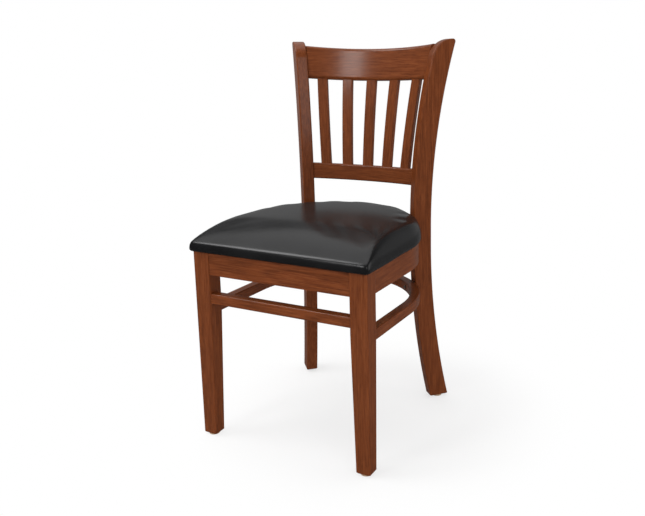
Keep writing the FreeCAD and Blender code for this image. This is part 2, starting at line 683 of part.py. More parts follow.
pieces["front_leg_right"] = leg
pieces["front_leg_left"] = mirrored(leg)
pieces["back_post_right"] = post
pieces["back_post_left"] = mirrored(post)
pieces["crest_rail"] = crest_rail
pieces["lower_back_rail"] = lower_back_rail
for number, strip in enumerate(slats):
    pieces["slat_%d" % (number + 1)] = strip
pieces["front_seat_rail"] = front_seat_rail
pieces["seat_hoop"] = seat_hoop
pieces["front_stretcher"] = front_stretcher
pieces["stretcher_hoop"] = stretcher_hoop
pieces["corner_block_right"] = corner_block
pieces["corner_block_left"] = mirrored(corner_block)
pieces["rear_block_right"] = rear_block
pieces["rear_block_left"] = mirrored(rear_block)
pieces["front_rail_dowels"] = Part.Compound(front_rail_dowels)
pieces["seat_hoop_dowels"] = Part.Compound(seat_hoop_dowels)
pieces["stretcher_dowels"] = Part.Compound(stretcher_dowels)
pieces["stretcher_hoop_dowels"] = Part.Compound(stretcher_hoop_dowels)
pieces["crest_rail_dowels"] = Part.Compound(crest_rail_dowels)
pieces["lower_rail_dowels"] = Part.Compound(lower_rail_dowels)
pieces["post_bolts"] = Part.Compound(post_bolts)
pieces["post_bolt_washers"] = Part.Compound(post_bolt_washers)
pieces["post_inserts"] = Part.Compound(post_inserts)
pieces["stretcher_screws"] = Part.Compound(stretcher_screws)
pieces["corner_block_screws"] = Part.Compound(corner_screws)
pieces["seat_screws"] = Part.Compound(seat_screws)
pieces["seat_staples"] = Part.Compound(seat_staples)
pieces["seat_board"] = seat_board
pieces["seat_foam"] = seat_foam
pieces["seat_cover"] = seat_cover
pieces["dust_cover"] = dust_cover
for name, centre in foot_centres.items():
    end, side = name.split("_")
    pieces["glide_%s_right" % end] = glide(centre)
    pieces["glide_%s_left" % end] = mirrored(glide(centre))
pieces["glide_nails"] = Part.Compound(glide_nails)

whole = Part.Compound(list(pieces.values())).optimalBoundingBox(True, False)
shift = Vector(-(whole.XMin + whole.XMax) / 2, -(whole.YMin + whole.YMax) / 2, -whole.ZMin)
os.makedirs("parts", exist_ok=True)
for name, shape in pieces.items():
    shape.translate(shift)
    shape.exportStep("parts/%s.step" % name)
    print("%-22s solids %2d valid %s volume %.0f" % (name, len(shape.Solids), shape.isValid(), shape.Volume))
print("size %.2f x %.2f x %.2f" % (whole.XLength, whole.YLength, whole.ZLength))
print("shift y %.3f z %.3f" % (shift.y, shift.z))
for name, centre in foot_centres.items():
    print("foot %s x %.3f y %.3f" % (name, centre.x + shift.x, centre.y + shift.y))
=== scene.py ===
import math

import bmesh
import bpy
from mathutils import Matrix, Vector


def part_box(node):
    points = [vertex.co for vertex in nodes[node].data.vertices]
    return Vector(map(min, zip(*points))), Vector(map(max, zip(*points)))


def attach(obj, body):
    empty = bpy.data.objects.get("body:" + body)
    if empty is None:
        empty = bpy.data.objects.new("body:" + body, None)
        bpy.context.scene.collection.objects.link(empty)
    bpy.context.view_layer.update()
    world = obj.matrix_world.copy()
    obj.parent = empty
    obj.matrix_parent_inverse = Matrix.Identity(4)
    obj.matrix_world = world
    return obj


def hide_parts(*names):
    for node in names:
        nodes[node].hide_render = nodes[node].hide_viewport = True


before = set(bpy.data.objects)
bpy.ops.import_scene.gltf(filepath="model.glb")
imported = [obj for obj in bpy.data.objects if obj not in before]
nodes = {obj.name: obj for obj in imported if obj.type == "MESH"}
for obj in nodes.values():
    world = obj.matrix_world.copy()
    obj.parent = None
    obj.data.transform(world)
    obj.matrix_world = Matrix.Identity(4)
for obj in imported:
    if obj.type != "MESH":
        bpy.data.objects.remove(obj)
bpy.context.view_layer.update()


# Front legs: solid beech planed square, tapered on the inner and rear sides, with rounded edges.
# They are stained walnut brown and sprayed with a clear satin lacquer, like all of the frame that shows.
MM = 0.001
UPRIGHT = Vector((0, 0, 1))
STAIN_DARK = "#5F2E12"
STAIN_MID = "#703819"
STAIN_LIGHT = "#7E4321"
# Each pattern's length and width, and its number of finer layers. Growth rings cut lengthways give
# streaks 1 to 3 mm wide and a slow figure. Flecks of 0.4 mm are drawn about three times as wide, to show.
STREAKS = (60 * MM, 2.4 * MM, 4.0)
FIGURE = (260 * MM, 34 * MM, 1.0)
FLECKS = (16 * MM, 1.3 * MM, 2.0)
FIBRE_UNEVENNESS = 0.55
STREAK_RANGE = (0.30, 0.70)
FIGURE_LINES = 40.0
PLAIN_FIGURE = 0.04
FLECK_RANGE = (0.34, 0.50)
FLECK_SHADE = 0.78
PORE_DEPTH, PORE_STRENGTH = 0.15 * MM, 0.12
WOOD_ROUGHNESS = (0.46, 0.34)
WOOD_IOR = 1.15
LACQUER_WEIGHT, LACQUER_ROUGHNESS, LACQUER_IOR = 0.5, 0.2, 1.45
LEG_CUT = Vector((0.3, 0.0, 0.2))
NEXT_LEG = Vector((0.0, 1.0, 0.0))


def linear(hex_colour):
    """Linear RGBA of an sRGB hex colour."""
    channels = [int(hex_colour[place:place + 2], 16) / 255 for place in (1, 3, 5)]
    return [c / 12.92 if c <= 0.04045 else ((c + 0.055) / 1.055) ** 2.4 for c in channels] + [1.0]


def add_node(tree, kind, inputs=None, **settings):
    """Adds one shader node. inputs holds plain values, or sockets that feed it."""
    made = tree.nodes.new(kind)
    for name, value in settings.items():
        setattr(made, name, value)
    for key, value in (inputs or {}).items():
        if isinstance(value, bpy.types.NodeSocket):
            tree.links.new(value, made.inputs[key])
        else:
            made.inputs[key].default_value = value
    return made


def new_material(name):
    """A material, its emptied node tree and its output node."""
    material = bpy.data.materials.new(name)
    material.use_nodes = True
    material.node_tree.nodes.clear()
    return material, material.node_tree, material.node_tree.nodes.new("ShaderNodeOutputMaterial")


def straight_grain(tree, axis, cut):
    """Coordinates in metres whose X runs along a straight piece's grain. cut is its place in the timber."""
    turn = axis.rotation_difference(Vector((1, 0, 0))).to_euler()
    place = add_node(tree, "ShaderNodeTexCoord").outputs["Object"]
    turned = add_node(tree, "ShaderNodeMapping", {"Vector": place, "Rotation": turn, "Location": cut})
    return turned.outputs[0]


def stained_beech(name, make_grain, *layout, figure=PLAIN_FIGURE):
    """Stained, lacquered beech: brown, with long soft streaks, arched figure, dark flecks and satin gloss."""
    material, tree, output = new_material(name)
    grain = make_grain(tree, *layout)
    patterns = []
    for length, width, detail in (STREAKS, FIGURE, FLECKS):
        scale = (1 / length, 1 / width, 1 / width)
        sized = add_node(tree, "ShaderNodeVectorMath", {0: grain, 1: scale}, operation="MULTIPLY")
        pattern = add_node(tree, "ShaderNodeTexNoise", {
            "Vector": sized.outputs[0], "Scale": 1.0, "Detail": detail, "Roughness": FIBRE_UNEVENNESS})
        patterns.append(pattern.outputs[0])
    streaks, rings, flecks = patterns
    stain = add_node(tree, "ShaderNodeValToRGB", {"Fac": streaks})
    stain.color_ramp.elements[0].position = STREAK_RANGE[0]
    stain.color_ramp.elements[0].color = linear(STAIN_DARK)
    stain.color_ramp.elements[1].position = STREAK_RANGE[1]
    stain.color_ramp.elements[1].color = linear(STAIN_LIGHT)
    middle = stain.color_ramp.elements.new(sum(STREAK_RANGE) / 2)
    middle.color = linear(STAIN_MID)
    ring_turn = add_node(tree, "ShaderNodeMath", {0: rings, 1: FIGURE_LINES}, operation="MULTIPLY")
    ring_wave = add_node(tree, "ShaderNodeMath", {0: ring_turn.outputs[0]}, operation="SINE")
    ring_shade = add_node(tree, "ShaderNodeMapRange", {
        "Value": ring_wave.outputs[0], "From Min": -1.0, "From Max": 1.0,
        "To Min": 1 - figure, "To Max": 1 + figure})
    fleck_shade = add_node(tree, "ShaderNodeMapRange", {
        "Value": flecks, "From Min": FLECK_RANGE[0], "From Max": FLECK_RANGE[1],
        "To Min": FLECK_SHADE, "To Max": 1.0})
    shade = add_node(tree, "ShaderNodeMath", {0: ring_shade.outputs[0], 1: fleck_shade.outputs[0]},
                     operation="MULTIPLY")
    # Inputs 0, 6 and 7 of a colour mix are its share and its two colours.
    colour = add_node(tree, "ShaderNodeMix", {0: 1.0, 6: stain.outputs["Color"], 7: shade.outputs[0]},
                      data_type="RGBA", blend_type="MULTIPLY")
    gloss = add_node(tree, "ShaderNodeMapRange", {
        "Value": flecks, "To Min": WOOD_ROUGHNESS[0], "To Max": WOOD_ROUGHNESS[1]})
    relief = add_node(tree, "ShaderNodeBump", {
        "Height": flecks, "Strength": PORE_STRENGTH, "Distance": PORE_DEPTH})
    surface = add_node(tree, "ShaderNodeBsdfPrincipled", {
        "Base Color": colour.outputs[2], "Roughness": gloss.outputs[0], "IOR": WOOD_IOR,
        "Coat Weight": LACQUER_WEIGHT, "Coat Roughness": LACQUER_ROUGHNESS, "Coat IOR": LACQUER_IOR,
        "Normal": relief.outputs[0]})
    tree.links.new(surface.outputs[0], output.inputs["Surface"])
    return material


def dress(node_name, material):
    """Gives one carried-over CAD node its finish."""
    mesh = nodes[node_name].data
    mesh.materials.clear()
    mesh.materials.append(material)
    for face in mesh.polygons:
        face.material_index = 0


for number, leg in enumerate(("front_leg_left", "front_leg_right")):
    cut = LEG_CUT + number * NEXT_LEG
    dress(leg, stained_beech("stained_beech_" + leg, straight_grain, UPRIGHT, cut))


# Front seat rail and front stretcher: straight beech rails dowelled between the legs.
# They are flat-sawn, so that their faces show arched figure.
LEVEL = Vector((1, 0, 0))
BOLD_FIGURE = 0.13
RAIL_CUT = Vector((0.1, 0.5, 0.0))
for number, rail in enumerate(("front_seat_rail", "front_stretcher")):
    cut = RAIL_CUT + number * UPRIGHT
    dress(rail, stained_beech("stained_beech_" + rail, straight_grain, LEVEL, cut, figure=BOLD_FIGURE))


# Seat hoop and stretcher hoop: beech steamed and bent into a U, dowelled to the rear of the legs.
# Their grain follows the bend.
HOOP_CUT = Vector((0.7, 0.2, 0.0))


def bent_grain(tree, centre_y, radius, cut):
    """Coordinates whose X follows a piece bent about an upright axis, and its straight arms if any."""
    place = add_node(tree, "ShaderNodeTexCoord").outputs["Object"]
    part = add_node(tree, "ShaderNodeSeparateXYZ", {"Vector": place})
    behind = add_node(tree, "ShaderNodeMath", {0: part.outputs["Y"], 1: centre_y}, operation="SUBTRACT")
    bent = add_node(tree, "ShaderNodeMath", {0: behind.outputs[0], 1: 0.0}, operation="MAXIMUM")
    arm = add_node(tree, "ShaderNodeMath", {0: behind.outputs[0], 1: 0.0}, operation="MINIMUM")
    angle = add_node(tree, "ShaderNodeMath", {0: part.outputs["X"], 1: bent.outputs[0]}, operation="ARCTAN2")
    side = add_node(tree, "ShaderNodeMath", {0: part.outputs["X"]}, operation="SIGN")
    arm_length = add_node(tree, "ShaderNodeMath", {0: arm.outputs[0], 1: side.outputs[0]},
                          operation="MULTIPLY")
    along_bend = add_node(tree, "ShaderNodeMath", {0: angle.outputs[0], 1: radius}, operation="MULTIPLY")
    along = add_node(tree, "ShaderNodeMath", {0: along_bend.outputs[0], 1: arm_length.outputs[0]},
                     operation="SUBTRACT")
    flat = add_node(tree, "ShaderNodeCombineXYZ", {"X": part.outputs["X"], "Y": bent.outputs[0]})
    across = add_node(tree, "ShaderNodeVectorMath", {0: flat.outputs[0]}, operation="LENGTH")
    joined = add_node(tree, "ShaderNodeCombineXYZ", {
        "X": along.outputs[0], "Y": across.outputs["Value"], "Z": part.outputs["Z"]})
    moved = add_node(tree, "ShaderNodeMapping", {"Vector": joined.outputs[0], "Location": cut})
    return moved.outputs[0]


for number, hoop in enumerate(("seat_hoop", "stretcher_hoop")):
    hoop_low, hoop_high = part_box(hoop)
    hoop_radius = (hoop_high.x - hoop_low.x) / 2
    hoop_centre_y = hoop_high.y - hoop_radius
    cut = HOOP_CUT + number * UPRIGHT
    dress(hoop, stained_beech("stained_beech_" + hoop, bent_grain, hoop_centre_y, hoop_radius, cut))


# Back posts: beech planks band-sawn to a sweep and turned to face the round of the hoops.
# They are bolted to the outside of both hoops.
POST_CUT = Vector((0.9, 0.4, 0.0))
for number, post in enumerate(("back_post_left", "back_post_right")):
    cut = POST_CUT + number * UPRIGHT
    dress(post, stained_beech("stained_beech_" + post, straight_grain, UPRIGHT, cut))


# Crest rail and lower back rail: bent beech boards dowelled between the posts.
# Their grain follows the bend.
BACK_BEND_RADIUS = 430 * MM
BACK_RAIL_CUT = Vector((0.2, 0.8, 0.0))
for number, rail in enumerate(("crest_rail", "lower_back_rail")):
    bend_centre_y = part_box(rail)[1].y - BACK_BEND_RADIUS
    cut = BACK_RAIL_CUT + number * UPRIGHT
    dress(rail, stained_beech("stained_beech_" + rail, bent_grain, bend_centre_y, BACK_BEND_RADIUS, cut))


# Back slats: thin beech strips with a slight bow, which fan out upwards.
# They are glued into mortises of the two rails, and the grain of each follows its own lean.
SLAT_RAKE = 0.13
SLAT_CUT = Vector((0.0, 0.6, 0.0))
slat_names = sorted(name for name in nodes if name.startswith("slat_"))
middle_slat = len(slat_names) // 2
for number, slat in enumerate(slat_names):
    slat_low, slat_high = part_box(slat)
    lean = (slat_high.x - slat_low.x) / (slat_high.z - slat_low.z)
    side = (number > middle_slat) - (number < middle_slat)
    grain_axis = Vector((side * lean / 2, SLAT_RAKE, 1)).normalized()
    cut = SLAT_CUT + number * LEVEL
    dress(slat, stained_beech("stained_beech_" + slat, straight_grain, grain_axis, cut))


# Blocks, dowels and seat board: beech blocks inside the seat frame, beech dowels glued into the joints,
# and the plywood board under the cushion. They are bare timber and out of sight in use.
RAW_LIGHT = "#D9BE97"
RAW_DARK = "#B9966A"
RAW_STREAK_LENGTH, RAW_STREAK_WIDTH, RAW_STREAK_DETAIL = 90 * MM, 3 * MM, 4.0
RAW_STREAK_RANGE = (0.3, 0.7)
RAW_ROUGHNESS, RAW_IOR = 0.72, 1.5
SANDING_DEPTH, SANDING_STRENGTH = 0.3 * MM, 0.2
DOWEL_AXIS = Vector((0, 1, 0))


def raw_timber(name, axis):
    """Bare sanded timber: pale tan with fine darker streaks and no gloss."""
    material, tree, output = new_material(name)
    grain = straight_grain(tree, axis, (0.0, 0.0, 0.0))
    scale = (1 / RAW_STREAK_LENGTH, 1 / RAW_STREAK_WIDTH, 1 / RAW_STREAK_WIDTH)
    sized = add_node(tree, "ShaderNodeVectorMath", {0: grain, 1: scale}, operation="MULTIPLY")
    streaks = add_node(tree, "ShaderNodeTexNoise", {
        "Vector": sized.outputs[0], "Scale": 1.0, "Detail": RAW_STREAK_DETAIL})
    colour = add_node(tree, "ShaderNodeValToRGB", {"Fac": streaks.outputs[0]})
    colour.color_ramp.elements[0].position = RAW_STREAK_RANGE[0]
    colour.color_ramp.elements[0].color = linear(RAW_DARK)
    colour.color_ramp.elements[1].position = RAW_STREAK_RANGE[1]
    colour.color_ramp.elements[1].color = linear(RAW_LIGHT)
    relief = add_node(tree, "ShaderNodeBump", {
        "Height": streaks.outputs[0], "Strength": SANDING_STRENGTH, "Distance": SANDING_DEPTH})
    surface = add_node(tree, "ShaderNodeBsdfPrincipled", {
        "Base Color": colour.outputs[0], "Roughness": RAW_ROUGHNESS, "IOR": RAW_IOR,
        "Normal": relief.outputs[0]})
    tree.links.new(surface.outputs[0], output.inputs["Surface"])
    return material


raw_beech = raw_timber("raw_beech", LEVEL)
raw_beech_dowel = raw_timber("raw_beech_dowel", DOWEL_AXIS)
birch_plywood = raw_timber("birch_plywood", LEVEL)
for name in nodes:
    if "_block_" in name and not name.endswith("screws"):
        dress(name, raw_beech)
    if name.endswith("dowels"):
        dress(name, raw_beech_dowel)
dress("seat_board", birch_plywood)


# Bolts, washers, inserts, screws, staples and nails: steel, turned or drawn as wire, and zinc-plated.
# They hold the posts, the stretchers, the blocks, the seat and the floor glides.
ZINC = "#A9A9A4"
ZINC_DULL = "#83837E"
CLOUD_SIZE, CLOUD_DETAIL = 3 * MM, 3.0
ZINC_ROUGHNESS = (0.42, 0.28)


def zinc_plate(name):
    """Zinc plating: cool grey metal with faint cloudy patches."""
    material, tree, output = new_material(name)
    place = add_node(tree, "ShaderNodeTexCoord").outputs["Object"]
    clouds = add_node(tree, "ShaderNodeTexNoise", {
        "Vector": place, "Scale": 1 / CLOUD_SIZE, "Detail": CLOUD_DETAIL})
    colour = add_node(tree, "ShaderNodeValToRGB", {"Fac": clouds.outputs[0]})
    colour.color_ramp.elements[0].color = linear(ZINC_DULL)
    colour.color_ramp.elements[1].color = linear(ZINC)
    gloss = add_node(tree, "ShaderNodeMapRange", {
        "Value": clouds.outputs[0], "To Min": ZINC_ROUGHNESS[0], "To Max": ZINC_ROUGHNESS[1]})
    surface = add_node(tree, "ShaderNodeBsdfPrincipled", {
        "Base Color": colour.outputs[0], "Metallic": 1.0, "Roughness": gloss.outputs[0]})
    tree.links.new(surface.outputs[0], output.inputs["Surface"])
    return material


zinc_steel = zinc_plate("zinc_plated_steel")
for name in ("post_bolts", "post_bolt_washers", "post_inserts", "stretcher_screws", "corner_block_screws",
             "seat_screws", "seat_staples", "glide_nails"):
    dress(name, zinc_steel)


# Floor glides: round discs of beige nylon, moulded, and nailed under the legs and posts.
# They keep the wood off the floor.
NYLON_BEIGE = "#CBA988"
NYLON_SCUFFED = "#B2916F"
SCUFF_SIZE, SCUFF_DETAIL = 4 * MM, 5.0
SCUFF_RANGE = (0.35, 0.6)
NYLON_ROUGHNESS, NYLON_IOR = 0.48, 1.53
NYLON_GLOW, NYLON_GLOW_REACH = 0.1, (2 * MM, 1.5 * MM, 1 * MM)


def moulded_nylon(name):
    """Moulded nylon: even beige, waxy, with dull scuffs from the floor."""
    material, tree, output = new_material(name)
    place = add_node(tree, "ShaderNodeTexCoord").outputs["Object"]
    scuffs = add_node(tree, "ShaderNodeTexNoise", {
        "Vector": place, "Scale": 1 / SCUFF_SIZE, "Detail": SCUFF_DETAIL})
    colour = add_node(tree, "ShaderNodeValToRGB", {"Fac": scuffs.outputs[0]})
    colour.color_ramp.elements[0].position = SCUFF_RANGE[0]
    colour.color_ramp.elements[0].color = linear(NYLON_SCUFFED)
    colour.color_ramp.elements[1].position = SCUFF_RANGE[1]
    colour.color_ramp.elements[1].color = linear(NYLON_BEIGE)
    surface = add_node(tree, "ShaderNodeBsdfPrincipled", {
        "Base Color": colour.outputs[0], "Roughness": NYLON_ROUGHNESS, "IOR": NYLON_IOR,
        "Subsurface Weight": NYLON_GLOW, "Subsurface Radius": NYLON_GLOW_REACH})
    tree.links.new(surface.outputs[0], output.inputs["Surface"])
    return material


beige_nylon = moulded_nylon("beige_nylon")
for name in nodes:
    if name.startswith("glide_") and name != "glide_nails":
        dress(name, beige_nylon)


# Dust cover: thin black spun-bonded cloth stapled under the seat board, which closes the seat from below.
# To the eye it is flat black with a faint web of paler bonded threads.
CLOTH_BLACK = "#161617"
CLOTH_WORN = "#242426"
# The bonded threads are about 0.5 mm apart and are drawn at twice that so that they show.
THREAD_SPACING = 1 * MM
THREAD_DEPTH, THREAD_STRENGTH = 0.3 * MM, 0.4
CLOTH_ROUGHNESS, CLOTH_SHEEN = 0.9, 0.2
dust_cloth, tree, output = new_material("spun_bonded_cloth")
place = add_node(tree, "ShaderNodeTexCoord").outputs["Object"]
threads = add_node(tree, "ShaderNodeTexVoronoi", {"Vector": place, "Scale": 1 / THREAD_SPACING})
colour = add_node(tree, "ShaderNodeValToRGB", {"Fac": threads.outputs["Distance"]})
colour.color_ramp.elements[0].color = linear(CLOTH_BLACK)
colour.color_ramp.elements[1].color = linear(CLOTH_WORN)
relief = add_node(tree, "ShaderNodeBump", {
    "Height": threads.outputs["Distance"], "Strength": THREAD_STRENGTH, "Distance": THREAD_DEPTH})
surface = add_node(tree, "ShaderNodeBsdfPrincipled", {
    "Base Color": colour.outputs[0], "Roughness": CLOTH_ROUGHNESS, "Sheen Weight": CLOTH_SHEEN,
    "Normal": relief.outputs[0]})
tree.links.new(surface.outputs[0], output.inputs["Surface"])
dress("dust_cover", dust_cloth)


# Seat cushion: black vinyl pulled over foam on a plywood board and stapled underneath.
# It is crowned, drawn in along its lower edge, lower at the front and pressed in at the posts.
VINYL_BLACK = "#111112"
VINYL_GREY = "#171718"
# The embossed leather grain is about 1 mm across and is drawn at 1.6 mm so that it shows.
GRAIN_CELL = 1.6 * MM
GRAIN_DEPTH, GRAIN_STRENGTH = 0.12 * MM, 0.06
PULL_WAVE, PULL_DETAIL = 70 * MM, 2.0
PULL_RANGE = (0.35, 0.65)
VINYL_ROUGHNESS = (0.21, 0.28)
VINYL_IOR = 1.4


def black_vinyl(name):
    """Embossed upholstery vinyl: deep black, satin, with a fine leather grain and slow pull waves."""
    material, tree, output = new_material(name)
    place = add_node(tree, "ShaderNodeTexCoord").outputs["Object"]
    pebbles = add_node(tree, "ShaderNodeTexVoronoi", {"Vector": place, "Scale": 1 / GRAIN_CELL},
                       feature="SMOOTH_F1")
    pulls = add_node(tree, "ShaderNodeTexNoise", {
        "Vector": place, "Scale": 1 / PULL_WAVE, "Detail": PULL_DETAIL})
    colour = add_node(tree, "ShaderNodeValToRGB", {"Fac": pulls.outputs[0]})
    colour.color_ramp.elements[0].position = PULL_RANGE[0]
    colour.color_ramp.elements[0].color = linear(VINYL_BLACK)
    colour.color_ramp.elements[1].position = PULL_RANGE[1]
    colour.color_ramp.elements[1].color = linear(VINYL_GREY)
    gloss = add_node(tree, "ShaderNodeMapRange", {
        "Value": pulls.outputs[0], "To Min": VINYL_ROUGHNESS[0], "To Max": VINYL_ROUGHNESS[1]})
    relief = add_node(tree, "ShaderNodeBump", {
        "Height": pebbles.outputs["Distance"], "Strength": GRAIN_STRENGTH, "Distance": GRAIN_DEPTH})
    surface = add_node(tree, "ShaderNodeBsdfPrincipled", {
        "Base Color": colour.outputs[0], "Roughness": gloss.outputs[0], "IOR": VINYL_IOR,
        "Normal": relief.outputs[0]})
    tree.links.new(surface.outputs[0], output.inputs["Surface"])
    return material


SEAT_FLARE = 5 * MM
SEAT_CORNER_RADIUS = 7 * MM
CORNER_GROWTH, CORNER_LIMIT = 0.6, 0.8
FRONT_STEPS, CORNER_STEPS, SIDE_STEPS, REAR_STEPS = 12, 6, 12, 72
SEAT_EDGE_RISE = 20 * MM
SEAT_DOME = 7 * MM
SIDE_SLOPE, SIDE_POWER = 26 * MM, 2.6
FRONT_SLOPE, FRONT_POWER = 150 * MM, 2.4
CORNER_BLEND = 3.0
LEAST_RISE = 1e-6
SWELL_LIMIT = 2 * MM
# Rim of the cushion from its underside to the fold, in mm: distance in from the outline, and height.
RIM_FLOOR = 0.3
RIM = [(14.0, RIM_FLOOR), (8.0, RIM_FLOOR), (2.4, RIM_FLOOR),
       (1.0, 2.5), (0.3, 6.0), (0.0, 10.5), (0.6, 15.5)]
# Rings of the crowned top, in mm in from the outline, close together where it curves most.
CROWN_RINGS = [2.2, 4.5, 8.0, 12.0, 17.0, 23.0, 30.0, 39.0, 50.0, 64.0, 82.0, 104.0, 130.0, 160.0, 190.0]
POST_ANGLE = math.radians(43.1)
POST_HALF_WIDTH = 14.6 * MM
POST_FRONT_RADIUS = 207.6 * MM
NOTCH_SPREAD, NOTCH_SHARE = 3 * MM, 0.5
DENT_SPREAD, DENT_REACH = 34 * MM, 60 * MM
seat_low, seat_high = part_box("seat_cover")
seat_half_width = (seat_high.x - seat_low.x) / 2 - SEAT_FLARE
seat_centre_y = seat_high.y - seat_half_width
seat_front_y = seat_low.y
seat_base_z = seat_low.z
# The crown starts lower than the CAD one by as much as the cloth may swell.
seat_crown = seat_high.z - seat_low.z - SWELL_LIMIT


def held(value):
    """Value kept between 0 and 1."""
    return min(max(value, 0.0), 1.0)


def seat_edge(inset):
    """Points round the D-shaped seat, a distance in from its outline. The sides flare towards the front."""
    half = seat_half_width - inset
    wide = half + SEAT_FLARE
    front = seat_front_y + inset
    corner = min(SEAT_CORNER_RADIUS + CORNER_GROWTH * inset, CORNER_LIMIT * wide,
                 CORNER_LIMIT * (seat_centre_y - front))
    side_start = front + corner
    side_length = seat_centre_y - side_start
    right = []
    for step in range(FRONT_STEPS + 1):
        right.append(((wide - corner) * step / FRONT_STEPS, front))
    for step in range(1, CORNER_STEPS):
        turn = math.radians(-90 + 90 * step / CORNER_STEPS)
        right.append((wide - corner + corner * math.cos(turn), side_start + corner * math.sin(turn)))
    for step in range(SIDE_STEPS + 1):
        right.append((wide - SEAT_FLARE * step / SIDE_STEPS, side_start + side_length * step / SIDE_STEPS))
    for step in range(1, REAR_STEPS + 1):
        turn = math.radians(90 * step / REAR_STEPS)
        right.append((half * math.cos(turn), seat_centre_y + half * math.sin(turn)))
    left = [(-x, y) for x, y in right[-2:0:-1]]
    return right + left


def crown_height(x, y):
    """Height of the cushion's top above its base."""
    behind = y - seat_centre_y
    reach = math.hypot(x, behind) if behind > 0 else abs(x)
    edge = seat_half_width + SEAT_FLARE * max(0.0, -behind) / (seat_centre_y - seat_front_y)
    side = held((edge - reach) / SIDE_SLOPE)
    front = held((y - seat_front_y) / FRONT_SLOPE)
    side_rise = max(1 - (1 - side) ** SIDE_POWER, LEAST_RISE)
    front_rise = max(1 - (1 - front) ** FRONT_POWER, LEAST_RISE)
    rise = (side_rise ** -CORNER_BLEND + front_rise ** -CORNER_BLEND - 1) ** (-1 / CORNER_BLEND)
    dome = SEAT_DOME * (1 - (reach / edge) ** 2) * front_rise
    return SEAT_EDGE_RISE + (seat_crown - SEAT_EDGE_RISE - SEAT_DOME) * rise + max(dome, 0.0)


def clear_of_posts(x, y, height):
    """Squeezes the cushion in where it meets a post: a narrow notch in its rim, a soft dent higher up."""
    behind = y - seat_centre_y
    reach = math.hypot(x, behind)
    if behind <= 0 or reach < seat_half_width - DENT_REACH:
        return x, y
    soft = held(height / SEAT_EDGE_RISE - NOTCH_SHARE)
    spread = NOTCH_SPREAD + (DENT_SPREAD - NOTCH_SPREAD) * soft
    off_post = abs(math.atan2(abs(x), behind) - POST_ANGLE) * reach
    ease = held((off_post - POST_HALF_WIDTH) / spread)
    depth = (seat_half_width - POST_FRONT_RADIUS) * (1 - ease * ease * (3 - 2 * ease))
    share = (reach - seat_half_width) / DENT_REACH + 1
    shrink = min(reach - soft * depth * share * share, seat_half_width - depth) / reach
    return x * shrink, seat_centre_y + behind * shrink


seat_mesh = bpy.data.meshes.new("seat_cushion")
seat_bm = bmesh.new()
rings = []
for inset, rise in RIM:
    outline = seat_edge(inset * MM)
    rings.append([seat_bm.verts.new((x, y, seat_base_z + rise * MM)) for x, y in outline])
for inset in CROWN_RINGS:
    outline = seat_edge(inset * MM)
    rings.append([seat_bm.verts.new((x, y, seat_base_z + crown_height(x, y))) for x, y in outline])
for lower, upper in zip(rings, rings[1:]):
    for index in range(len(lower)):
        after = (index + 1) % len(lower)
        seat_bm.faces.new((lower[index], lower[after], upper[after], upper[index]))
seat_bm.faces.new(rings[-1])
seat_bm.faces.new(rings[0][::-1])
seat_bm.to_mesh(seat_mesh)
seat_bm.free()
seat_cushion = bpy.data.objects.new("seat_cushion", seat_mesh)
bpy.context.scene.collection.objects.link(seat_cushion)

VOXEL = 4.5 * MM
AIR_PRESSURE = 2.0
STRETCH_STIFFNESS, BENDING_STIFFNESS = 40, 30
PINNED_RIM = 12 * MM
SWELL_FRAMES = 20
SMOOTHING_ROUNDS, SMOOTHING_SHARE = 14, 0.5


def baked_mesh(piece):
    """Mesh of a piece with its modifiers applied."""
    graph = bpy.context.evaluated_depsgraph_get()
    return bpy.data.meshes.new_from_object(piece.evaluated_get(graph))


def swell(piece):
    """Remeshes the cushion, blows it up as cloth with its rim held, and keeps the result."""
    remesh = piece.modifiers.new("remesh", "REMESH")
    remesh.mode = "VOXEL"
    remesh.voxel_size = VOXEL
    remeshed = baked_mesh(piece)
    piece.modifiers.clear()
    piece.data = remeshed
    start = [vertex.co.copy() for vertex in remeshed.vertices]
    rim = piece.vertex_groups.new(name="rim")
    rim.add([v.index for v in remeshed.vertices if v.co.z < seat_base_z + PINNED_RIM], 1.0, "REPLACE")
    cloth = piece.modifiers.new("cloth", "CLOTH")
    cloth.settings.vertex_group_mass = "rim"
    cloth.settings.use_pressure = True
    cloth.settings.uniform_pressure_force = AIR_PRESSURE
    cloth.settings.tension_stiffness = STRETCH_STIFFNESS
    cloth.settings.compression_stiffness = STRETCH_STIFFNESS
    cloth.settings.bending_stiffness = BENDING_STIFFNESS
    cloth.settings.effector_weights.gravity = 0
    cloth.point_cache.frame_start = 1
    cloth.point_cache.frame_end = SWELL_FRAMES
    for step in range(1, SWELL_FRAMES + 1):
        bpy.context.scene.frame_set(step)
    swollen = baked_mesh(piece)
    piece.modifiers.clear()
    piece.data = swollen
    for vertex, before in zip(swollen.vertices, start):
        move = vertex.co - before
        if move.length > SWELL_LIMIT:
            vertex.co = before + move * (SWELL_LIMIT / move.length)
    bpy.context.scene.frame_set(1)


swell(seat_cushion)
for vertex in seat_cushion.data.vertices:
    x, y = clear_of_posts(vertex.co.x, vertex.co.y, vertex.co.z - seat_base_z)
    vertex.co.x = x
    vertex.co.y = y
    vertex.co.z = min(max(vertex.co.z, seat_base_z + RIM_FLOOR * MM), seat_high.z)
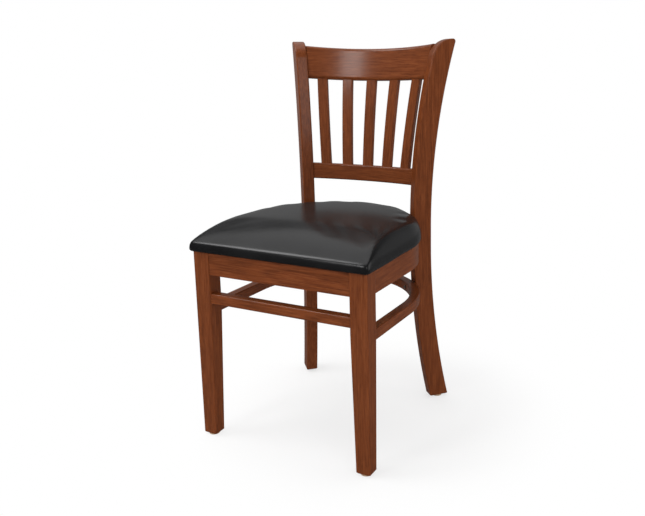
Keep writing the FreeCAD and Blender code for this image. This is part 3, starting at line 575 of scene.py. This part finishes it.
# Only the padded top is evened out, so that the rim keeps its fold.
padded_top = seat_cushion.vertex_groups.new(name="padded_top")
for vertex in seat_cushion.data.vertices:
    above_rim = (vertex.co.z - seat_base_z - PINNED_RIM / 2) / SEAT_EDGE_RISE
    padded_top.add([vertex.index], held(above_rim), "REPLACE")
even = seat_cushion.modifiers.new("even", "SMOOTH")
even.iterations = SMOOTHING_ROUNDS
even.factor = SMOOTHING_SHARE
even.vertex_group = "padded_top"
finer = seat_cushion.modifiers.new("finer", "SUBSURF")
finer.levels = 1
finer.render_levels = 1
for face in seat_cushion.data.polygons:
    face.use_smooth = True
vinyl = black_vinyl("black_vinyl")
seat_cushion.data.materials.clear()
seat_cushion.data.materials.append(vinyl)
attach(seat_cushion, "root")
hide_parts("seat_cover", "seat_foam")


# Studio: white paper under and behind the chair in a dim room. Large soft boxes light it evenly,
# and a smaller box at the front left makes the gleam on the crest rail.
WHITE = (1, 1, 1, 1)
FLOOR_SIZE = 14.0
FLOOR_WHITE = "#F4F4F4"
# Share of pure white mixed into the floor near the shadow's centre. Beyond the second reach, in metres,
# the floor is wholly white.
SHADOW_WASH = 0.66
SHADOW_CENTRE = (0.06, 0.06, 0.0)
SHADOW_REACH = (0.25, 0.50)
# Brightness of what mirror rays see, where 1 is white.
DIM_ROOM = 0.08
PAPER_MIRRORED = 0.15
BACKDROP_MIRRORED = 0.27
CEILING_MIRRORED = 0.8
# Above its top edge the backdrop keeps this share of its brightness.
ABOVE_BACKDROP = 0.45
# Where one fades into the next: metres along the floor for the paper, and for the others how far back
# or up a direction of length 1 points.
FLOOR_FADE = (-0.2, 0.8)
BACKDROP_FADE = (-0.1, 0.4)
BACKDROP_TOP_FADE = (0.3, 0.5)
CEILING_FADE = (0.8, 1.0)
SURROUND_LIGHT = 0.70


def white_as_seen(tree, mirrored):
    """Strength of the background: 1 to the camera and through clear pieces, mirrored in gloss, else 0."""
    ray = add_node(tree, "ShaderNodeLightPath")
    straight = add_node(tree, "ShaderNodeMath", {
        0: ray.outputs["Is Camera Ray"], 1: ray.outputs["Is Transmission Ray"]}, operation="MAXIMUM")
    in_mirror = add_node(tree, "ShaderNodeMath", {0: ray.outputs["Is Glossy Ray"], 1: mirrored},
                         operation="MULTIPLY")
    either = add_node(tree, "ShaderNodeMath", {0: straight.outputs[0], 1: in_mirror.outputs[0]},
                      operation="MAXIMUM")
    return either.outputs[0]


half_floor = FLOOR_SIZE / 2
floor_mesh = bpy.data.meshes.new("floor")
floor_mesh.from_pydata([(-half_floor, -half_floor, 0), (half_floor, -half_floor, 0),
                        (half_floor, half_floor, 0), (-half_floor, half_floor, 0)], [], [(0, 1, 2, 3)])
floor = bpy.data.objects.new("floor", floor_mesh)
bpy.context.scene.collection.objects.link(floor)
# White studio paper: matt and even, so that only the soft shadow shows on it.
studio_paper, tree, output = new_material("white_studio_paper")
place = add_node(tree, "ShaderNodeTexCoord").outputs["Object"]
distance = add_node(tree, "ShaderNodeVectorMath", {0: place, 1: SHADOW_CENTRE}, operation="DISTANCE")
wash = add_node(tree, "ShaderNodeMapRange", {
    "Value": distance.outputs["Value"], "From Min": SHADOW_REACH[0], "From Max": SHADOW_REACH[1],
    "To Min": SHADOW_WASH}, interpolation_type="SMOOTHSTEP")
depth = add_node(tree, "ShaderNodeSeparateXYZ", {"Vector": place})
paper_mirrored = add_node(tree, "ShaderNodeMapRange", {
    "Value": depth.outputs["Y"], "From Min": FLOOR_FADE[0], "From Max": FLOOR_FADE[1],
    "To Min": DIM_ROOM, "To Max": PAPER_MIRRORED})
ray = add_node(tree, "ShaderNodeLightPath")
sent_on = add_node(tree, "ShaderNodeMath", {
    0: ray.outputs["Is Glossy Ray"], 1: ray.outputs["Is Transmission Ray"]}, operation="MAXIMUM")
washed = add_node(tree, "ShaderNodeMath", {0: ray.outputs["Is Camera Ray"], 1: wash.outputs[0]},
                  operation="MULTIPLY")
white_share = add_node(tree, "ShaderNodeMath", {0: washed.outputs[0], 1: sent_on.outputs[0]},
                       operation="MAXIMUM")
paper = add_node(tree, "ShaderNodeBsdfDiffuse", {"Color": linear(FLOOR_WHITE)})
glow = add_node(tree, "ShaderNodeEmission", {
    "Color": WHITE, "Strength": white_as_seen(tree, paper_mirrored.outputs[0])})
blend = add_node(tree, "ShaderNodeMixShader", {
    0: white_share.outputs[0], 1: paper.outputs[0], 2: glow.outputs[0]})
tree.links.new(blend.outputs[0], output.inputs["Surface"])
floor.data.materials.append(studio_paper)

world = bpy.data.worlds.new("white_surround")
bpy.context.scene.world = world
world.use_nodes = True
tree = world.node_tree
tree.nodes.clear()
direction = add_node(tree, "ShaderNodeTexCoord").outputs["Generated"]
toward = add_node(tree, "ShaderNodeSeparateXYZ", {"Vector": direction})
backdrop = add_node(tree, "ShaderNodeMapRange", {
    "Value": toward.outputs["Y"], "From Min": BACKDROP_FADE[0], "From Max": BACKDROP_FADE[1],
    "To Min": DIM_ROOM, "To Max": BACKDROP_MIRRORED})
backdrop_top = add_node(tree, "ShaderNodeMapRange", {
    "Value": toward.outputs["Z"], "From Min": BACKDROP_TOP_FADE[0], "From Max": BACKDROP_TOP_FADE[1],
    "To Min": 1.0, "To Max": ABOVE_BACKDROP})
ceiling = add_node(tree, "ShaderNodeMapRange", {
    "Value": toward.outputs["Z"], "From Min": CEILING_FADE[0], "From Max": CEILING_FADE[1],
    "To Max": CEILING_MIRRORED})
walls = add_node(tree, "ShaderNodeMath", {0: backdrop.outputs[0], 1: backdrop_top.outputs[0]},
                 operation="MULTIPLY")
mirrored = add_node(tree, "ShaderNodeMath", {0: walls.outputs[0], 1: ceiling.outputs[0]},
                    operation="MAXIMUM")
ray = add_node(tree, "ShaderNodeLightPath")
not_mirrored = add_node(tree, "ShaderNodeMath", {0: 1.0, 1: ray.outputs["Is Glossy Ray"]},
                        operation="SUBTRACT")
light = add_node(tree, "ShaderNodeMath", {0: not_mirrored.outputs[0], 1: SURROUND_LIGHT},
                 operation="MULTIPLY")
strength = add_node(tree, "ShaderNodeMath", {
    0: white_as_seen(tree, mirrored.outputs[0]), 1: light.outputs[0]}, operation="MAXIMUM")
surround = add_node(tree, "ShaderNodeBackground", {"Color": WHITE, "Strength": strength.outputs[0]})
add_node(tree, "ShaderNodeOutputWorld", {"Surface": surround.outputs[0]})

# Each soft box: name, place in metres, width in metres and power in watts.
SOFT_BOXES = (("left_box", (-1.3, -0.8, 2.3), 0.9, 18.0),
              ("top_box", (-0.75, 0.35, 2.5), 2.4, 17.0),
              ("gleam_box", (-0.75, -2.0, 1.75), 0.5, 8.5),
              ("right_box", (1.75, -1.5, 1.55), 1.2, 8.5),
              ("side_box", (2.1, 0.9, 0.9), 1.4, 6.0))
LAMP_AIM = Vector((0, 0, 0.5))
for name, place, width, power in SOFT_BOXES:
    lamp = bpy.data.lights.new(name, "AREA")
    lamp.shape = "SQUARE"
    lamp.size = width
    lamp.energy = power
    box = bpy.data.objects.new(name, lamp)
    box.location = place
    box.rotation_euler = (LAMP_AIM - Vector(place)).to_track_quat("-Z", "Y").to_euler()
    bpy.context.scene.collection.objects.link(box)
bpy.context.scene.view_settings.view_transform = "Standard"


# Camera: nearly as high as the top of the back, in front of the chair and to the right of it.
# Its place is in mm from the floor midway between the fronts of the legs.
# Place, angles and lens were fitted to points of the photo.
PHOTO_WIDTH, PHOTO_HEIGHT = 645, 516
FOCAL_PIXELS = 713.2
LENS_CENTRE = (401.6, 202.2)
CAMERA_FROM_LEG_FRONT = Vector((837.6, -1143.0, 826.4)) * MM
CAMERA_TURN, CAMERA_DIP, CAMERA_ROLL = 25.73, 11.21, -0.37
SENSOR_WIDTH = 36.0
leg_front_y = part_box("front_leg_left")[0].y
camera_data = bpy.data.cameras.new("camera")
camera_data.sensor_width = SENSOR_WIDTH
camera_data.lens = FOCAL_PIXELS / PHOTO_WIDTH * SENSOR_WIDTH
camera_data.shift_x = (PHOTO_WIDTH / 2 - LENS_CENTRE[0]) / PHOTO_WIDTH
camera_data.shift_y = (LENS_CENTRE[1] - PHOTO_HEIGHT / 2) / PHOTO_WIDTH
camera = bpy.data.objects.new("camera", camera_data)
camera.location = CAMERA_FROM_LEG_FRONT + Vector((0, leg_front_y, 0))
camera.rotation_mode = "XYZ"
camera.rotation_euler = (math.radians(90 - CAMERA_DIP), 0, math.radians(CAMERA_TURN))
camera.rotation_euler.rotate_axis("Z", math.radians(CAMERA_ROLL))
bpy.context.scene.collection.objects.link(camera)
bpy.context.scene.camera = camera
